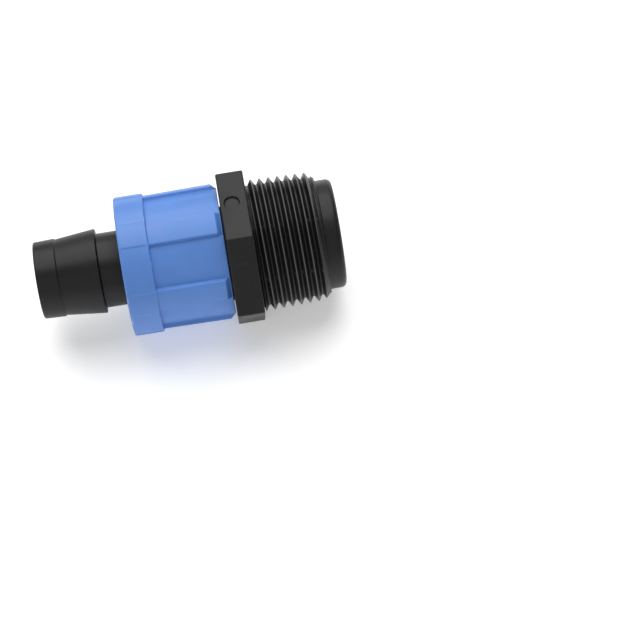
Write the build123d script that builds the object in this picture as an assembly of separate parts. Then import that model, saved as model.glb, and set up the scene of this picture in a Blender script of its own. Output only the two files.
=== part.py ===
from build123d import *

import math
import os

# Drip tape adapter: a barbed spigot, a lock nut on a coarse thread, a hexagon and a male taper pipe thread.
# Millimetres. +X runs along the waterway towards the pipe thread and +Z is up.
# The origin is on the axis, in the plane of the hexagon's face on the pipe thread side.
# The fitting lies with one flat of its hexagon facing down.

# Pipe thread: 3/4 inch taper, 14 turns to the inch, its major diameter taken at the hexagon
thread_major = 26.95
thread_pitch = 25.4 / 14
thread_depth = 1.16
thread_length = 13.95
thread_taper = 1 / 16
thread_crest_x = 1.61
crest_share = 0.16
root_share = 0.84

# Nose and hexagon
nose_step = 0.78
nose_length = 3.4
nose_rounding = 1.1
nose_wall = 2.3
hexagon_step = 1.025
hexagon_thickness = 5.55
hexagon_rounding = 0.35
mark_diameter = 3.0
mark_depth = 0.4
mark_offset = 0.7
mark_lead = 0.35

# Spigot for 16 mm drip tape, from its tip towards the hexagon
barb_diameter = 17.25
barb_length = 8.15
barb_start_step = 0.875
barb_back_step = 1.05
tip_step = 0.825
tip_land_step = 0.675
tip_land_length = 4.5
tip_rounding = 0.35
neck_length = 9.7
neck_wall = 1.575
bore_cone_length = 3.0

# Coarse thread that the lock nut runs on
lock_pitch = 3.6
lock_step = 1.525
lock_depth = 1.2
lock_crest_width = 1.0
lock_root_width = 1.9

# Lock nut
nut_length = 20.85
nut_wall = 1.28
nut_flare = 0.18
collar_step = 1.22
collar_length = 5.95
mouth_step = 1.875
mouth_depth = 3.0
lip_thickness = 1.4
rib_count = 6
rib_height = 0.86
rib_angle = 20.5
rib_turn = 11.8
rib_end_land = 0.05
pad_height = 0.16
edge_chamfer = 0.4
back_chamfer = 0.2

# Clearances between the two mouldings
nut_gap = 0.2
lip_clearance = 0.22
lip_room = 0.55
running_clearance = 0.15
tape_gap = 0.55

# Places along the axis
thread_end_x = thread_length
nose_end_x = thread_end_x + nose_length
hexagon_back_x = -hexagon_thickness
hexagon_middle_x = -hexagon_thickness / 2
nut_back_x = hexagon_back_x - nut_gap
nut_front_x = nut_back_x - nut_length
collar_back_x = nut_front_x + collar_length
lip_front_x = nut_front_x + mouth_depth
lip_back_x = lip_front_x + lip_thickness
lock_front_x = lip_back_x + lip_room
barb_back_x = lock_front_x - neck_length
barb_front_x = barb_back_x - barb_length
tip_x = barb_front_x - tip_land_length

# Radii of the pipe end
thread_major_radius = thread_major / 2
thread_root_radius = thread_major_radius - thread_depth
thread_end_root_radius = thread_root_radius - thread_length * thread_taper / 2
nose_radius = thread_end_root_radius - nose_step
pipe_bore_radius = nose_radius - nose_wall
hexagon_flat_radius = thread_major_radius + hexagon_step
pipe_thread_overrun = thread_pitch / 2
pipe_thread_start = (thread_end_x + pipe_thread_overrun - thread_crest_x) / thread_pitch * 360 % 360

# Radii of the tape end
barb_radius = barb_diameter / 2
tip_radius = barb_radius - tip_step
tip_land_radius = barb_radius - tip_land_step
barb_start_radius = barb_radius - barb_start_step
neck_radius = barb_radius - barb_back_step
spigot_bore_radius = neck_radius - neck_wall
lock_major_radius = barb_radius + lock_step
lock_root_radius = lock_major_radius - lock_depth

# Radii of the nut
lip_radius = barb_radius + lip_clearance
mouth_radius = barb_radius + mouth_step
nut_bore_radius = lock_major_radius + running_clearance
nut_core_radius = nut_bore_radius + lock_depth + nut_wall
collar_radius = nut_core_radius + collar_step

# How far one piece of a moulding runs into the next, and how threads are cut off at their ends
sink = 0.25
cut_inset = 0.15
cut_sink = 0.1
cut_reach = 4


def turned(points):
    """A solid of revolution about X from an outline of (x, radius) points."""
    outline = make_face(Polyline([(x, radius, 0) for x, radius in points], close=True))
    return revolve(outline, Axis.X, 360)


def helical_ridge(end_x, length, radius, cone_degrees, pitch, depth, crest, root, spin):
    """A ridge wound right-handed about X, from end_x towards -X, widening with the cone."""
    path = Helix(pitch, length, radius, center=(end_x, 0, 0), direction=(-1, 0, 0), cone_angle=cone_degrees)
    start = path @ 0
    outward = Vector(0, start.Y, start.Z).normalized()
    section = Plane(origin=start, x_dir=(1, 0, 0), z_dir=Vector(1, 0, 0).cross(outward))
    slope = (root - crest) / depth / 2
    inner = root / 2 + sink * slope
    corners = [(-inner, -sink), (inner, -sink), (crest / 2, depth), (-crest / 2, depth)]
    flat = make_face(section * Polyline(corners, close=True))
    ridge = sweep(flat, path=path, is_frenet=True)
    start_degrees = math.degrees(math.atan2(-outward.Y, outward.Z))
    return Rot(spin - start_degrees, 0, 0) * ridge


def spigot_and_stem():
    """Spigot, barb, neck and the core of the lock thread, up to the inside of the hexagon."""
    outline = [
        (tip_x, 0),
        (tip_x, tip_radius - tip_rounding),
        (tip_x + tip_rounding, tip_radius),
        (barb_front_x, tip_land_radius),
        (barb_front_x, barb_start_radius),
        (barb_back_x, barb_radius),
        (barb_back_x, neck_radius),
        (lock_front_x, neck_radius),
        (lock_front_x, lock_root_radius),
        (hexagon_back_x + sink, lock_root_radius),
        (hexagon_back_x + sink, 0),
    ]
    return turned(outline)


def pipe_end():
    """The tapered core of the pipe thread and the plain nose, with their seam where the thread starts."""
    outline = [
        (-sink, 0),
        (-sink, thread_root_radius),
        (0, thread_root_radius),
        (thread_end_x, thread_end_root_radius),
        (thread_end_x, nose_radius),
        (nose_end_x - nose_rounding, nose_radius),
        (nose_end_x, nose_radius - nose_rounding),
        (nose_end_x, 0),
    ]
    return Rot(pipe_thread_start + 90, 0, 0) * turned(outline)


def hexagon():
    """The spanner hexagon, with a flat facing down and softened edges."""
    plan = Plane(origin=(hexagon_back_x, 0, 0), x_dir=(0, 1, 0), z_dir=(1, 0, 0))
    corner_radius = hexagon_flat_radius / math.cos(math.pi / 6)
    prism = extrude(plan * RegularPolygon(corner_radius, 6), hexagon_thickness)
    return fillet(prism.edges(), hexagon_rounding)


def ejector_mark():
    """The shallow round recess in the hexagon's upper flat, off its middle towards +Y and the spigot."""
    centre = (hexagon_middle_x - mark_lead, mark_offset, hexagon_flat_radius)
    downward = Plane(origin=centre, x_dir=(1, 0, 0), z_dir=(0, 0, -1))
    return extrude(downward * Circle(mark_diameter / 2), mark_depth)


def thread_space(inside_x, end_x, root_radius):
    """The space from inside the hexagon to a 45 degree cone that cuts a thread off just short of end_x."""
    reach = root_radius + cut_reach
    step = math.copysign(1, end_x - inside_x)
    outline = [
        (inside_x, 0),
        (inside_x, reach),
        (end_x - step * (cut_inset + cut_reach), reach),
        (end_x - step * (cut_inset - cut_sink), root_radius - cut_sink),
        (end_x - step * (cut_inset - cut_sink), 0),
    ]
    return turned(outline)


def pipe_thread():
    """The male taper thread, from inside the hexagon to a 45 degree end at the nose."""
    cone_degrees = math.degrees(math.atan(thread_taper / 2))
    ridge = helical_ridge(
        thread_end_x + pipe_thread_overrun,
        thread_length + 2 * pipe_thread_overrun,
        thread_end_root_radius - pipe_thread_overrun * thread_taper / 2,
        cone_degrees,
        thread_pitch,
        thread_depth,
        crest_share * thread_pitch,
        root_share * thread_pitch,
        pipe_thread_start,
    )
    return ridge & thread_space(-2 * sink, thread_end_x, thread_end_root_radius)


def lock_thread():
    """The coarse thread under the nut, from inside the hexagon to a 45 degree end at the neck."""
    overrun = lock_pitch / 2
    ridge = helical_ridge(
        hexagon_back_x + overrun,
        hexagon_back_x - lock_front_x + 2 * overrun,
        lock_root_radius,
        0,
        lock_pitch,
        lock_depth,
        lock_crest_width,
        lock_root_width,
        0,
    )
    return ridge & thread_space(hexagon_back_x + sink, lock_front_x, lock_root_radius)


def waterway():
    """The bore: narrow through the spigot, wide through the pipe end, with a cone between them."""
    outline = [
        (tip_x - 1, 0),
        (tip_x - 1, spigot_bore_radius),
        (hexagon_middle_x - bore_cone_length, spigot_bore_radius),
        (hexagon_middle_x, pipe_bore_radius),
        (nose_end_x + 1, pipe_bore_radius),
        (nose_end_x + 1, 0),
    ]
    return turned(outline)


def adapter_body():
    """The one black moulding: spigot, lock thread, hexagon, pipe thread and nose."""
    body = spigot_and_stem() + hexagon() + pipe_end() - waterway() - ejector_mark()
    body = body + lock_thread()
    return body + pipe_thread()


def nut_shell():
    """The collar and the slightly flared core of the nut, before its bore is cut."""
    back_radius = nut_core_radius + nut_flare
    outline = [
        (nut_front_x, 0),
        (nut_front_x, collar_radius - edge_chamfer),
        (nut_front_x + edge_chamfer, collar_radius),
        (collar_back_x, collar_radius),
        (collar_back_x, nut_core_radius),
        (nut_back_x - back_chamfer, back_radius),
        (nut_back_x, back_radius - back_chamfer),
        (nut_back_x, 0),
    ]
    return turned(outline)


def grip_rib(centre_degrees):
    """One grip rib, sloped down at the nut's back, with a low pad that carries on over the collar."""
    rib_radius = nut_core_radius + rib_height
    rib_back_radius = rib_radius + nut_flare
    pad_radius = collar_radius + pad_height
    rib_back_x = nut_back_x - back_chamfer - rib_end_land
    inner_radius = nut_core_radius - sink
    rib_outline = [
        (collar_back_x - sink, inner_radius),
        (collar_back_x - sink, rib_radius),
        (rib_back_x - rib_height, rib_back_radius),
        (rib_back_x, rib_back_radius - rib_height),
        (rib_back_x, inner_radius),
    ]
    pad_outline = [
        (nut_front_x + edge_chamfer, inner_radius),
        (nut_front_x + edge_chamfer, collar_radius),
        (nut_front_x + edge_chamfer + pad_height, pad_radius),
        (collar_back_x, pad_radius),
        (collar_back_x, inner_radius),
    ]
    pieces = []
    for outline in (rib_outline, pad_outline):
        flat = make_face(Polyline([(x, 0, radius) for x, radius in outline], close=True))
        wedge = revolve(flat, Axis.X, rib_angle)
        pieces.append(Rot(centre_degrees - rib_angle / 2, 0, 0) * wedge)
    return pieces[0] + pieces[1]


def nut_bore():
    """The open mouth, the clamping lip's hole and the running bore behind it."""
    mouth_edge = edge_chamfer / 2
    outline = [
        (nut_front_x - 1, 0),
        (nut_front_x - 1, mouth_radius + mouth_edge),
        (nut_front_x, mouth_radius + mouth_edge),
        (nut_front_x + mouth_edge, mouth_radius),
        (lip_front_x, mouth_radius),
        (lip_front_x, lip_radius),
        (lip_back_x, lip_radius),
        (lip_back_x, nut_bore_radius),
        (nut_back_x - edge_chamfer, nut_bore_radius),
        (nut_back_x, nut_bore_radius + edge_chamfer),
        (nut_back_x + 1, nut_bore_radius + edge_chamfer),
        (nut_back_x + 1, 0),
    ]
    return turned(outline)


def nut_groove():
    """The coarse groove inside the nut, in line with the body's lock thread."""
    overrun = lock_pitch / 2
    return helical_ridge(
        nut_back_x + overrun,
        nut_back_x - lip_back_x + overrun - lock_root_width,
        nut_bore_radius,
        0,
        lock_pitch,
        lock_depth,
        lock_crest_width,
        lock_root_width,
        -nut_gap / lock_pitch * 360,
    )


def lock_nut():
    """The blue lock nut: one moulding with a collar, grip ribs, a clamping lip and a coarse thread."""
    nut = nut_shell()
    for index in range(rib_count):
        nut = nut + grip_rib(rib_turn + index * 360 / rib_count)
    nut = nut - nut_bore()
    return nut - nut_groove()


os.makedirs("parts", exist_ok=True)
export_step(adapter_body(), "parts/adapter_body.step")
export_step(lock_nut(), "parts/lock_nut.step")
nut_travel = lip_front_x - barb_back_x - tape_gap
print("nut travel", round(nut_travel, 3), "mm")
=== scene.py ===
import math

import bpy
import numpy as np
from mathutils import Matrix, Vector


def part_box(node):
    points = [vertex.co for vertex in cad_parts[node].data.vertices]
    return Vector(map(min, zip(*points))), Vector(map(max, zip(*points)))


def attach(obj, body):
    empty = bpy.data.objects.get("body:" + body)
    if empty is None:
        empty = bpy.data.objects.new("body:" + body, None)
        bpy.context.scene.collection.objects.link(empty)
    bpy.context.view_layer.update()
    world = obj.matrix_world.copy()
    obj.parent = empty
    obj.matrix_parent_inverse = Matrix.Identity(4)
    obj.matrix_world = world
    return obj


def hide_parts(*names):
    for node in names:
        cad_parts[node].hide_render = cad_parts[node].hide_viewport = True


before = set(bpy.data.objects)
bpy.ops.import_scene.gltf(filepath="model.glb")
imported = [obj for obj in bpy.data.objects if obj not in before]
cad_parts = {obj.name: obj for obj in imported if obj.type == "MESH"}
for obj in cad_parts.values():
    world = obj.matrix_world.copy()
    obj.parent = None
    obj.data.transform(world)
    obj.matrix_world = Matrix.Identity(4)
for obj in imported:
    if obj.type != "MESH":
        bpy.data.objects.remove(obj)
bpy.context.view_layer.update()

# Sizes of the fitting are in millimetres, in the frame of the CAD model, and MM turns them into metres,
# the frame's own unit. The floor, the lights and the camera are placed in metres.
# Angles are in degrees. An angle about the axis is counted from +Z towards -Y.
MM = 0.001

# ---------------------------------------------------------------- sizes
# Lengths, radii and places follow the CAD model. Roundings, short slopes and the thread's crest are finer.

# Pipe end and hexagon
THREAD_PITCH = 25.4 / 14
THREAD_TAPER = 1 / 32
THREAD_ROOT_RADIUS = 12.315
THREAD_DEPTH = 1.16
THREAD_CREST_X = 1.61
THREAD_CREST_WIDTH = 0.16
THREAD_ROOT_WIDTH = 1.52
THREAD_ROUNDNESS = 0.1
THREAD_LEAD_IN = 0.15
THREAD_RUN_OUT = 0.5
THREAD_LENGTH = 13.95
THREAD_END_SLOPE = 0.1
NOSE_LENGTH = 3.4
NOSE_RADIUS = 11.1
NOSE_ROUNDING = 1.1
PIPE_BORE_RADIUS = 8.8
BORE_CONE_LENGTH = 3.0
HEXAGON_THICKNESS = 5.55
HEXAGON_FLAT_RADIUS = 14.5
HEXAGON_CORNER_ROUNDING = 0.45
HEXAGON_EDGE = 0.35

# Round ejector mark in the hexagon's upper flat. The flat is taken to end at MARK_REACH from its middle.
MARK_LEAD = 0.35
MARK_ANGLE = -2.8
MARK_RADIUS = 1.5
MARK_DEPTH = 0.4
MARK_WALL = 0.12
MARK_REACH = 25

# Spigot and neck
BARB_RADIUS = 8.625
BARB_START_RADIUS = 7.75
BARB_LENGTH = 8.15
BARB_BACK_SLOPE = 0.12
TIP_RADIUS = 7.8
TIP_LAND_RADIUS = 7.95
TIP_LAND_LENGTH = 4.5
TIP_LAND_SLOPE = 0.25
NECK_RADIUS = 7.575
NECK_LENGTH = 9.7
SPIGOT_BORE_RADIUS = 6.0

# Coarse thread on the neck and in the nut
LOCK_PITCH = 3.6
LOCK_DEPTH = 1.2
LOCK_ROOT_RADIUS = 8.95
LOCK_CREST_X = -3.75
LOCK_CREST_WIDTH = 1.0
LOCK_ROOT_WIDTH = 1.9
LOCK_ROUNDNESS = 0.3
LOCK_START = 0.15
GROOVE_START = 0.3
GROOVE_FADE = 1.2

# Lock nut
NUT_GAP = 0.2
NUT_LENGTH = 20.85
NUT_CORE_RADIUS = 12.78
NUT_FLARE = 0.18
NUT_BORE_RADIUS = 10.3
NUT_BORE_EDGE = 0.4
COLLAR_LENGTH = 5.95
COLLAR_RADIUS = 14.0
COLLAR_BACK_SLOPE = 0.03
MOUTH_DEPTH = 3.0
MOUTH_RADIUS = 10.5
LIP_THICKNESS = 1.4
LIP_RADIUS = 8.845
LIP_ROOM = 0.55
RIB_COUNT = 6
RIB_HEIGHT = 0.86
RIB_END_GAP = 0.25
RIB_ANGLE = 20.5
RIB_TURN = 11.8
RIB_EDGE = 0.3
RIB_WALL = 0.1
RIB_FOOT = 0.15
PAD_HEIGHT = 0.16

# Places along the axis, worked out from the sizes above
NOSE_END_X = THREAD_LENGTH + NOSE_LENGTH
HEXAGON_BACK_X = -HEXAGON_THICKNESS
BORE_CONE_END_X = HEXAGON_BACK_X / 2
BORE_CONE_START_X = BORE_CONE_END_X - BORE_CONE_LENGTH
MARK_X = HEXAGON_BACK_X / 2 - MARK_LEAD
NUT_BACK_X = HEXAGON_BACK_X - NUT_GAP
NUT_FRONT_X = NUT_BACK_X - NUT_LENGTH
COLLAR_BACK_X = NUT_FRONT_X + COLLAR_LENGTH
RIB_BACK_X = NUT_BACK_X - RIB_END_GAP
LIP_FRONT_X = NUT_FRONT_X + MOUTH_DEPTH
LIP_BACK_X = LIP_FRONT_X + LIP_THICKNESS
LOCK_FRONT_X = LIP_BACK_X + LIP_ROOM
BARB_BACK_X = LOCK_FRONT_X - NECK_LENGTH
BARB_FRONT_X = BARB_BACK_X - BARB_LENGTH
TIP_X = BARB_FRONT_X - TIP_LAND_LENGTH

# Radii worked out from the sizes above
HEXAGON_CORNER_RADIUS = HEXAGON_FLAT_RADIUS / math.cos(math.radians(30))
THREAD_END_ROOT_RADIUS = THREAD_ROOT_RADIUS - THREAD_LENGTH * THREAD_TAPER
RIB_RADIUS = NUT_CORE_RADIUS + RIB_HEIGHT

# Fineness of the meshes: points in each rounding, cuts along each stretch, and steps round the axis,
# which are closer in a band on both sides of each edge, given as its half width and its count
ARC_STEPS = 5
THREAD_CUTS = 230
LOCK_CUTS = 130
HEXAGON_CUTS = 48
RIB_CUTS = 24
ADAPTER_ANGLE_STEP = 1.25
CORNER_BAND = (1.3, 11)
MARK_BAND = (6.8, 69)
NUT_ANGLE_STEP = 1.5
RIB_BAND = (1.5, 31)

# Cosine between the two sides of a corner below which they count as one straight line
STRAIGHT = -0.9999


# ---------------------------------------------------------------- outlines and skins

def outline(corners):
    """Points (x, radius) along corners given as (x, radius, rounding, cuts before the next corner)."""
    count = len(corners)
    arcs = []
    for index, (x, radius, rounding, _) in enumerate(corners):
        here = np.array((x, radius))
        before = np.array(corners[index - 1][:2]) - here
        after = np.array(corners[(index + 1) % count][:2]) - here
        before /= np.linalg.norm(before)
        after /= np.linalg.norm(after)
        if rounding == 0:
            arcs.append([here])
            continue
        if before @ after < STRAIGHT:
            shares = [step / ARC_STEPS - 0.5 for step in range(ARC_STEPS + 1)]
            arcs.append([here + after * rounding * share for share in shares])
            continue
        half = math.acos(np.clip(before @ after, -1, 1)) / 2
        reach = rounding / math.tan(half)
        centre = here + (before + after) / np.linalg.norm(before + after) * rounding / math.sin(half)
        start = here + before * reach - centre
        end = here + after * reach - centre
        turn = math.pi - 2 * half
        arc = []
        for step in range(ARC_STEPS + 1):
            share = step / ARC_STEPS
            along = start * math.sin((1 - share) * turn) + end * math.sin(share * turn)
            arc.append(centre + along / math.sin(turn))
        arcs.append(arc)
    points = []
    for index, arc in enumerate(arcs):
        cuts = corners[index][3]
        next_start = arcs[(index + 1) % count][0]
        points += arc
        points += [arc[-1] + (next_start - arc[-1]) * cut / (cuts + 1) for cut in range(1, cuts + 1)]
    return np.array(points)


def closed_skin(name, x, radius, angles):
    """A closed mesh from a grid of x and radius: rows run round the outline and columns round the axis."""
    rows, columns = radius.shape
    turn = np.radians(angles)
    points = np.empty((rows, columns, 3))
    points[..., 0] = x
    points[..., 1] = -radius * np.sin(turn)
    points[..., 2] = radius * np.cos(turn)
    here = np.arange(rows * columns).reshape(rows, columns)
    along = np.roll(here, -1, axis=0)
    around = np.roll(here, -1, axis=1)
    both = np.roll(along, -1, axis=1)
    faces = np.stack((here, around, both, along), axis=-1).reshape(-1, 4)
    mesh = bpy.data.meshes.new(name)
    mesh.from_pydata((points.reshape(-1, 3) * MM).tolist(), [], faces.tolist())
    mesh.shade_smooth()
    mesh.validate()
    piece = bpy.data.objects.new(name, mesh)
    bpy.context.scene.collection.objects.link(piece)
    normals = piece.modifiers.new("even_normals", "WEIGHTED_NORMAL")
    normals.weight = 60
    return piece


def smooth(share):
    """An eased step from 0 to 1."""
    share = np.clip(share, 0, 1)
    return share * share * (3 - 2 * share)


def thread_profile(x, angles, crest_x, pitch, crest_width, root_width, roundness):
    """Height from 0 to 1 of a right-handed thread over a grid of x and angle."""
    off_crest = np.abs((x - crest_x - pitch * angles / 360 + pitch / 2) % pitch - pitch / 2)
    flank = np.clip((root_width / 2 - off_crest) / (root_width / 2 - crest_width / 2), 0, 1)
    return flank + (smooth(flank) - flank) * roundness


def pipe_thread(x, angles):
    """Height from 0 to 1 of the taper pipe thread."""
    return thread_profile(
        x, angles, THREAD_CREST_X, THREAD_PITCH, THREAD_CREST_WIDTH, THREAD_ROOT_WIDTH, THREAD_ROUNDNESS)


def lock_thread(x, angles):
    """Height from 0 to 1 of the coarse thread, on the neck and in the nut."""
    return thread_profile(
        x, angles, LOCK_CREST_X, LOCK_PITCH, LOCK_CREST_WIDTH, LOCK_ROOT_WIDTH, LOCK_ROUNDNESS)


def angles_with(step, bands):
    """Angles round the axis, with closer ones in bands given as (centre, half width, count)."""
    angles = set(np.round(np.arange(0, 360, step), 3))
    for centre, spread, count in bands:
        near = [angle for angle in angles if abs((angle - centre + 180) % 360 - 180) < spread + step / 2]
        angles -= set(near)
        angles |= set(np.round((centre + np.linspace(-spread, spread, count)) % 360, 3))
    return np.array(sorted(angles))


# ---------------------------------------------------------------- materials

# How far below the pipe thread's crest the painted highlight starts and where it is full
CREST_HIGHLIGHT_START = 0.13
CREST_HIGHLIGHT_FULL = 0.02


class Plastic:
    """A plastic built from nodes in object space. Noise scales are counted to the metre."""

    def __init__(self, name):
        self.material = bpy.data.materials.new(name)
        self.material.use_nodes = True
        self.nodes = self.material.node_tree.nodes
        self.links = self.material.node_tree.links
        self.shader = self.nodes["Principled BSDF"]
        self.place = self.nodes.new("ShaderNodeTexCoord").outputs["Object"]

    def noise(self, scale, detail=3.0, roughness=0.5, stretch=(1, 1, 1)):
        """Cloudy noise, 0 to 1, stretched along an axis where stretch is below 1."""
        mapping = self.nodes.new("ShaderNodeMapping")
        mapping.inputs["Scale"].default_value = stretch
        self.links.new(self.place, mapping.inputs["Vector"])
        texture = self.nodes.new("ShaderNodeTexNoise")
        texture.inputs["Scale"].default_value = scale
        texture.inputs["Detail"].default_value = detail
        texture.inputs["Roughness"].default_value = roughness
        self.links.new(mapping.outputs["Vector"], texture.inputs["Vector"])
        return texture.outputs["Fac"]

    def spread(self, value, low, high, out_low, out_high):
        """A value eased from low to high onto out_low to out_high."""
        stretch = self.nodes.new("ShaderNodeMapRange")
        stretch.interpolation_type = "SMOOTHSTEP"
        stretch.inputs["From Min"].default_value = low
        stretch.inputs["From Max"].default_value = high
        stretch.inputs["To Min"].default_value = out_low
        stretch.inputs["To Max"].default_value = out_high
        self.links.new(value, stretch.inputs["Value"])
        return stretch.outputs["Result"]

    def math(self, operation, first, second):
        """Blender's math node on two numbers or sockets."""
        node = self.nodes.new("ShaderNodeMath")
        node.operation = operation
        for socket, value in zip(node.inputs, (first, second)):
            if isinstance(value, (int, float)):
                socket.default_value = value
            else:
                self.links.new(value, socket)
        return node.outputs["Value"]

    def mix(self, share, first, second):
        """A colour from first at share 0 to second at share 1."""
        node = self.nodes.new("ShaderNodeMix")
        node.data_type = "RGBA"
        self.links.new(share, node.inputs["Factor"])
        for socket, value in ((node.inputs["A"], first), (node.inputs["B"], second)):
            if isinstance(value, tuple):
                socket.default_value = value
            else:
                self.links.new(value, socket)
        return node.outputs["Result"]

    def bump(self, height, strength, distance, below=None):
        """Relief of a depth in millimetres, laid over an earlier relief."""
        node = self.nodes.new("ShaderNodeBump")
        node.inputs["Strength"].default_value = strength
        node.inputs["Distance"].default_value = distance * MM
        self.links.new(height, node.inputs["Height"])
        if below is not None:
            self.links.new(below, node.inputs["Normal"])
        return node.outputs["Normal"]

    def edges(self, low, high):
        """1 on outer edges, 0 elsewhere, for edges between low and high sharpness: where edge wear and a
        painted highlight go.
        """
        geometry = self.nodes.new("ShaderNodeNewGeometry")
        return self.spread(geometry.outputs["Pointiness"], low, high, 0, 1)

    def crest_highlight_mask(self):
        """1 along the crest of the pipe thread, 0 everywhere else: where a highlight is painted."""
        axes = self.nodes.new("ShaderNodeSeparateXYZ")
        self.links.new(self.place, axes.inputs["Vector"])
        along, across, up = axes.outputs
        squares = self.math("ADD", self.math("MULTIPLY", across, across), self.math("MULTIPLY", up, up))
        radius = self.math("SQRT", squares, 0.0)
        untapered = self.math("ADD", radius, self.math("MULTIPLY", along, THREAD_TAPER))
        crest_radius = THREAD_ROOT_RADIUS + THREAD_DEPTH
        start = (crest_radius - CREST_HIGHLIGHT_START) * MM
        full = (crest_radius - CREST_HIGHLIGHT_FULL) * MM
        highlighted = self.spread(untapered, start, full, 0, 1)
        return self.math("MULTIPLY", highlighted, self.math("GREATER_THAN", along, 0.0))

    def connect(self, socket, value):
        """Feed a node's output to a socket of the shader."""
        self.links.new(value, self.shader.inputs[socket])


def moulded_plastic(name, dark, light, pale_wear_and_highlight, sharpness, roughness, specular, subsurface=0.0, crest_highlight=0.0):
    """Satin polypropylene: clouding, flow marks, fine grain and scuffs, paler edges that are partly wear and
    partly painted highlight, and a painted highlight along the thread's crests.
    """
    plastic = Plastic(name)
    cloud = plastic.spread(plastic.noise(110, 3), 0.35, 0.65, 0, 1)
    flow = plastic.spread(plastic.noise(420, 4, 0.55, (0.5, 1, 1)), 0.3, 0.7, 0, 1)
    scuffs = plastic.spread(plastic.noise(1100, 5, 0.6, (0.3, 1, 1)), 0.6, 0.75, 0, 1)
    grain = plastic.noise(6000, 2)
    swell = plastic.noise(150, 1)
    tone = plastic.math("ADD", plastic.math("MULTIPLY", cloud, 0.7), plastic.math("MULTIPLY", flow, 0.3))
    body = plastic.mix(tone, dark, light)
    # Paler outer edges: partly wear, partly a painted highlight where rounded edges catch the light. The
    # scuffs are real wear.
    wear_and_highlight = plastic.math("MULTIPLY", plastic.edges(*sharpness), 0.7)
    wear_and_highlight = plastic.math("MAXIMUM", wear_and_highlight, plastic.math("MULTIPLY", scuffs, 0.12))
    # Paler thread crests: a painted highlight of the crests catching the light.
    if crest_highlight > 0:
        wear_and_highlight = plastic.math("MAXIMUM", wear_and_highlight, plastic.math("MULTIPLY", plastic.crest_highlight_mask(), crest_highlight))
    plastic.connect("Base Color", plastic.mix(wear_and_highlight, body, pale_wear_and_highlight))
    low, high = roughness
    rough = plastic.spread(cloud, 0, 1, low, high)
    rough = plastic.math("ADD", rough, plastic.math("MULTIPLY", scuffs, 0.08))
    plastic.connect("Roughness", rough)
    relief = plastic.bump(swell, 0.12, 0.25)
    relief = plastic.bump(grain, 0.16, 0.02, relief)
    relief = plastic.bump(scuffs, 0.12, 0.01, relief)
    plastic.connect("Normal", relief)
    plastic.shader.inputs["Specular IOR Level"].default_value = specular
    plastic.shader.inputs["Subsurface Weight"].default_value = subsurface
    plastic.shader.inputs["Subsurface Radius"].default_value = (0.4, 0.7, 1.0)
    plastic.shader.inputs["Subsurface Scale"].default_value = 1.2 * MM
    return plastic.material


def black_polypropylene():
    """Nearly colourless black, with a painted highlight along the crest of the pipe thread and paler edges.
    """
    return moulded_plastic(
        "black_polypropylene",
        dark=(0.0050, 0.0051, 0.0054, 1),
        light=(0.0070, 0.0071, 0.0075, 1),
        # Pale grey for the edges and the thread's crests: painted highlight, with some wear on the edges.
        pale_wear_and_highlight=(0.105, 0.106, 0.110, 1),
        sharpness=(0.56, 0.68),
        roughness=(0.38, 0.46),
        specular=0.28,
        crest_highlight=0.8,
    )


def blue_polypropylene():
    """Bright blue that lets a little light in under its skin."""
    return moulded_plastic(
        "blue_polypropylene",
        dark=(0.071, 0.210, 0.590, 1),
        light=(0.083, 0.233, 0.640, 1),
        # Paler blue for the edges: a painted highlight along the ribs' edges, with some wear.
        pale_wear_and_highlight=(0.22, 0.42, 0.84, 1),
        sharpness=(0.51, 0.57),
        roughness=(0.40, 0.50),
        specular=0.62,
        subsurface=0.12,
    )


# ---------------------------------------------------------------- adapter body

def off_nearest_flat(angles):
    """Angle from the middle of the nearest flat of the hexagon, -30 to 30."""
    return (angles + 30) % 60 - 30


def hexagon_share(angles):
    """0 on a flat and 1 at a corner of the hexagon, with the corners rounded, by angle."""
    off_flat = off_nearest_flat(angles)
    sharp = HEXAGON_FLAT_RADIUS / np.cos(np.radians(off_flat))
    centre = HEXAGON_CORNER_RADIUS - HEXAGON_CORNER_ROUNDING / math.cos(math.radians(30))
    off_corner = np.radians(30 - np.abs(off_flat))
    side = centre * np.sin(off_corner)
    inside = np.clip(HEXAGON_CORNER_ROUNDING ** 2 - side ** 2, 0, None)
    rounded = centre * np.cos(off_corner) + np.sqrt(inside)
    aside = HEXAGON_CORNER_ROUNDING * math.sin(math.radians(30))
    beyond = HEXAGON_CORNER_ROUNDING * math.cos(math.radians(30))
    tangent = math.atan2(aside, centre + beyond)
    radius = np.where(off_corner < tangent, rounded, sharp)
    return (radius - HEXAGON_FLAT_RADIUS) / (HEXAGON_CORNER_RADIUS - HEXAGON_FLAT_RADIUS)


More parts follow.
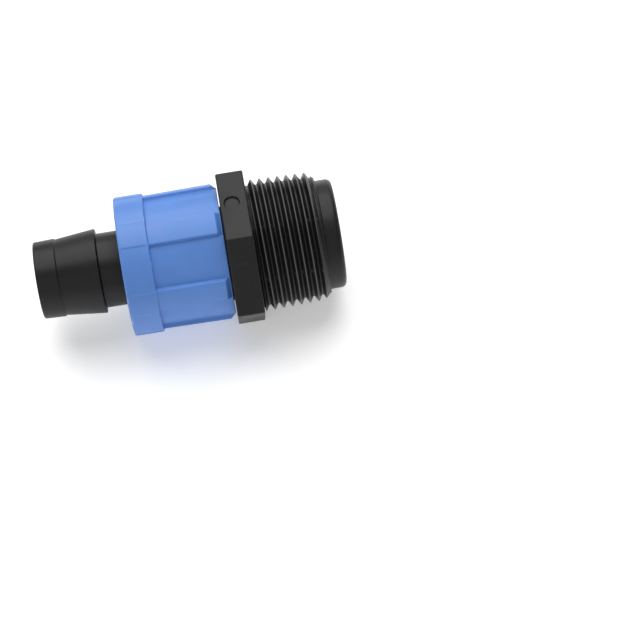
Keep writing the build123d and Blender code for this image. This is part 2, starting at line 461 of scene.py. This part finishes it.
def adapter_corners(hexagon_radius):
    """The whole outline of the moulding, outside from tip to nose and back through the bore."""
    return [
        (TIP_X, TIP_RADIUS, 0.35, 0),
        (BARB_FRONT_X - TIP_LAND_SLOPE, TIP_LAND_RADIUS, 0.12, 0),
        (BARB_FRONT_X, BARB_START_RADIUS, 0.12, 0),
        (BARB_BACK_X, BARB_RADIUS, 0.14, 0),
        (BARB_BACK_X + BARB_BACK_SLOPE, NECK_RADIUS, 0.2, 6),
        (LOCK_FRONT_X, NECK_RADIUS, 0.2, 0),
        (LOCK_FRONT_X, LOCK_ROOT_RADIUS, 0.15, LOCK_CUTS),
        (HEXAGON_BACK_X, LOCK_ROOT_RADIUS, 0.25, 1),
        (HEXAGON_BACK_X, hexagon_radius, HEXAGON_EDGE, HEXAGON_CUTS),
        (0, hexagon_radius, HEXAGON_EDGE, 1),
        (0, THREAD_ROOT_RADIUS, 0.45, THREAD_CUTS),
        (THREAD_LENGTH, THREAD_END_ROOT_RADIUS, 0.1, 0),
        (THREAD_LENGTH + THREAD_END_SLOPE, NOSE_RADIUS, 0.15, 1),
        (NOSE_END_X, NOSE_RADIUS, NOSE_ROUNDING, 0),
        (NOSE_END_X, PIPE_BORE_RADIUS, 0.3, 6),
        (BORE_CONE_END_X, PIPE_BORE_RADIUS, 0.4, 0),
        (BORE_CONE_START_X, SPIGOT_BORE_RADIUS, 0.4, 8),
        (TIP_X, SPIGOT_BORE_RADIUS, 0.25, 0),
    ]


def adapter_piece():
    """The black moulding as one closed skin, with both threads wound on it."""
    bands = [(30 + 60 * index, *CORNER_BAND) for index in range(6)]
    bands.append((MARK_ANGLE, *MARK_BAND))
    angles = angles_with(ADAPTER_ANGLE_STEP, bands)
    flat = outline(adapter_corners(HEXAGON_FLAT_RADIUS))
    corner = outline(adapter_corners(HEXAGON_CORNER_RADIUS))
    share = hexagon_share(angles)[None, :]
    x = flat[:, :1] + (corner[:, :1] - flat[:, :1]) * share
    radius = flat[:, 1:] + (corner[:, 1:] - flat[:, 1:]) * share

    outside = (np.arange(len(flat)) < np.argmax(flat[:, 0]))[:, None]
    in_pipe = outside & (x > 0) & (x < THREAD_LENGTH)
    root = THREAD_ROOT_RADIUS - x * THREAD_TAPER
    height = THREAD_DEPTH * pipe_thread(x, angles) * smooth(x / THREAD_RUN_OUT)
    lead_in = THREAD_END_ROOT_RADIUS + (THREAD_LENGTH - THREAD_LEAD_IN - x)
    crest = np.minimum(root + height, lead_in)
    radius = np.where(in_pipe, np.maximum(radius, crest), radius)

    in_lock = outside & (x > LOCK_FRONT_X) & (x < HEXAGON_BACK_X)
    start = LOCK_ROOT_RADIUS + (x - LOCK_FRONT_X - LOCK_START)
    ridge = np.minimum(LOCK_ROOT_RADIUS + LOCK_DEPTH * lock_thread(x, angles), start)
    radius = np.where(in_lock, np.maximum(radius, ridge), radius)

    across = HEXAGON_FLAT_RADIUS * np.tan(np.radians(off_nearest_flat(angles)))
    mark_across = HEXAGON_FLAT_RADIUS * math.tan(math.radians(MARK_ANGLE))
    off_mark = np.hypot(x - MARK_X, across - mark_across)
    sunk = smooth((MARK_RADIUS - off_mark) / MARK_WALL + 0.5)
    on_top = outside & (np.abs((angles + 180) % 360 - 180) < MARK_REACH)
    radius = np.where(on_top, radius - MARK_DEPTH * sunk, radius)
    return closed_skin("adapter_moulding", x, radius, angles)


# ---------------------------------------------------------------- lock nut

def nut_corners(collar_radius, front_radius, back_radius):
    """The nut's outline, outside from mouth to back and inside again, over a rib or between ribs."""
    core_back = NUT_CORE_RADIUS + NUT_FLARE
    return [
        (NUT_FRONT_X, collar_radius, 0.45, 8),
        (COLLAR_BACK_X, collar_radius, 0.3, 0),
        (COLLAR_BACK_X + COLLAR_BACK_SLOPE, front_radius, 0.15, RIB_CUTS),
        (RIB_BACK_X - RIB_HEIGHT, back_radius, 0.2, 6),
        (RIB_BACK_X, core_back, 0.05, 0),
        (NUT_BACK_X, core_back, 0.15, 0),
        (NUT_BACK_X, NUT_BORE_RADIUS + NUT_BORE_EDGE, 0.15, 0),
        (NUT_BACK_X - NUT_BORE_EDGE, NUT_BORE_RADIUS, 0.1, LOCK_CUTS),
        (LIP_BACK_X, NUT_BORE_RADIUS, 0.2, 0),
        (LIP_BACK_X, LIP_RADIUS, 0.3, 0),
        (LIP_FRONT_X, LIP_RADIUS, 0.3, 0),
        (LIP_FRONT_X, MOUTH_RADIUS, 0.3, 3),
        (NUT_FRONT_X, MOUTH_RADIUS, 0.3, 1),
    ]


def rib_share(angles):
    """1 on a rib and 0 between ribs, by angle: a rounded edge, a steep wall and an eased foot."""
    spacing = 360 / RIB_COUNT
    off_rib = np.abs((angles - RIB_TURN + spacing / 2) % spacing - spacing / 2)
    past_edge = np.radians(off_rib - RIB_ANGLE / 2) * RIB_RADIUS + RIB_EDGE
    over_edge = np.clip(past_edge, 0, RIB_EDGE)
    edge = 1 - (RIB_EDGE - np.sqrt(RIB_EDGE ** 2 - over_edge ** 2)) / RIB_HEIGHT
    down_wall = np.clip((past_edge - RIB_EDGE) / RIB_WALL, 0, 1)
    wall = (1 - RIB_EDGE / RIB_HEIGHT) * (1 - down_wall) + RIB_FOOT * down_wall
    foot = RIB_FOOT * (1 - smooth((past_edge - RIB_EDGE - RIB_WALL) / RIB_WALL))
    below_edge = np.where(past_edge < RIB_EDGE + RIB_WALL, wall, foot)
    return np.where(past_edge < RIB_EDGE, edge, below_edge)


def nut_piece():
    """The blue moulding as one closed skin, with its ribs, pads, lip and inner thread."""
    bands = []
    for index in range(RIB_COUNT):
        centre = RIB_TURN + index * 360 / RIB_COUNT
        bands += [(centre - RIB_ANGLE / 2, *RIB_BAND), (centre + RIB_ANGLE / 2, *RIB_BAND)]
    angles = angles_with(NUT_ANGLE_STEP, bands)
    between = outline(nut_corners(COLLAR_RADIUS, NUT_CORE_RADIUS, NUT_CORE_RADIUS + NUT_FLARE))
    over = outline(nut_corners(COLLAR_RADIUS + PAD_HEIGHT, RIB_RADIUS, RIB_RADIUS + NUT_FLARE))
    share = rib_share(angles)[None, :]
    x = between[:, :1] + (over[:, :1] - between[:, :1]) * share
    radius = between[:, 1:] + (over[:, 1:] - between[:, 1:]) * share

    inside = (np.arange(len(between)) > np.argmax(between[:, 0]))[:, None]
    in_bore = inside & (x > LIP_BACK_X) & (x < NUT_BACK_X - GROOVE_START)
    fade = smooth((x - LIP_BACK_X - GROOVE_START) / GROOVE_FADE)
    groove = NUT_BORE_RADIUS + LOCK_DEPTH * lock_thread(x, angles) * fade
    radius = np.where(in_bore, np.maximum(radius, groove), radius)
    return closed_skin("lock_nut_moulding", x, radius, angles)


# ---------------------------------------------------------------- stage, lights and camera

def pale_floor():
    """A wide plain floor under the lowest flat of the hexagon, glowing a little to stay nearly white."""
    reach = 3.0
    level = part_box("adapter_body")[0][2]
    corners = ((-reach, -reach), (reach, -reach), (reach, reach), (-reach, reach))
    mesh = bpy.data.meshes.new("floor")
    mesh.from_pydata([(x, y, level) for x, y in corners], [], [(0, 1, 2, 3)])
    floor = bpy.data.objects.new("floor", mesh)
    bpy.context.scene.collection.objects.link(floor)
    plastic = Plastic("pale_floor")
    plastic.connect("Base Color", plastic.mix(plastic.noise(3), (0.88, 0.88, 0.88, 1), (0.9, 0.9, 0.9, 1)))
    plastic.shader.inputs["Roughness"].default_value = 0.9
    plastic.shader.inputs["Specular IOR Level"].default_value = 0.1
    plastic.shader.inputs["Emission Color"].default_value = (1, 1, 1, 1)
    plastic.shader.inputs["Emission Strength"].default_value = 0.35
    mesh.materials.append(plastic.material)


def soft_light(name, place, size, power):
    """A round softbox at a place, turned to face the fitting."""
    lamp = bpy.data.lights.new(name, "AREA")
    lamp.shape = "DISK"
    lamp.size = size
    lamp.energy = power
    light = bpy.data.objects.new(name, lamp)
    light.location = place
    light.rotation_euler = (-Vector(place)).to_track_quat("-Z", "Y").to_euler()
    bpy.context.scene.collection.objects.link(light)


def studio():
    """A large softbox above and behind, a weaker one in front, and a dim even surround."""
    world = bpy.data.worlds.new("studio")
    world.use_nodes = True
    surround = world.node_tree.nodes["Background"]
    surround.inputs["Color"].default_value = (1, 1, 1, 1)
    surround.inputs["Strength"].default_value = 0.25
    bpy.context.scene.world = world
    soft_light("overhead", place=(0.0, 0.35, 0.66), size=1.1, power=8.0)
    soft_light("front_fill", place=(-0.1, -0.6, 0.4), size=0.8, power=1.0)


def photo_camera():
    """The camera of the photo: a long lens from above, rolled so that the fitting rises to the right."""
    sight_angle = math.radians(34.6)
    turned_away = math.radians(2.0)
    roll = math.radians(9.25)
    distance = 0.4667
    aim_along = 0.01079
    aim_below = 0.01695
    along = Vector((1, 0, 0))
    facing = Vector((0, -math.sin(sight_angle), math.cos(sight_angle)))
    above = facing.cross(along)
    back = facing * math.cos(turned_away) - along * math.sin(turned_away)
    level = along * math.cos(turned_away) + facing * math.sin(turned_away)
    right = level * math.cos(roll) - above * math.sin(roll)
    up = level * math.sin(roll) + above * math.cos(roll)
    aim = along * aim_along - above * aim_below
    camera_data = bpy.data.cameras.new("camera")
    camera_data.sensor_width = 36
    camera_data.lens = 129.4
    camera_data.clip_start = 0.01
    camera = bpy.data.objects.new("camera", camera_data)
    turn = Matrix((right, up, back)).transposed()
    camera.matrix_world = Matrix.Translation(aim + back * distance) @ turn.to_4x4()
    bpy.context.scene.collection.objects.link(camera)
    bpy.context.scene.camera = camera


# ---------------------------------------------------------------- the model

def add_piece(piece, node, body, material):
    """Put a finished piece on its body, in the place of its CAD node."""
    piece.data.materials.append(material)
    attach(piece, body)
    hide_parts(node)


photo_camera()
studio()
pale_floor()
add_piece(adapter_piece(), "adapter_body", "adapter", black_polypropylene())
add_piece(nut_piece(), "lock_nut", "nut", blue_polypropylene())
bpy.context.scene.view_settings.view_transform = "Standard"
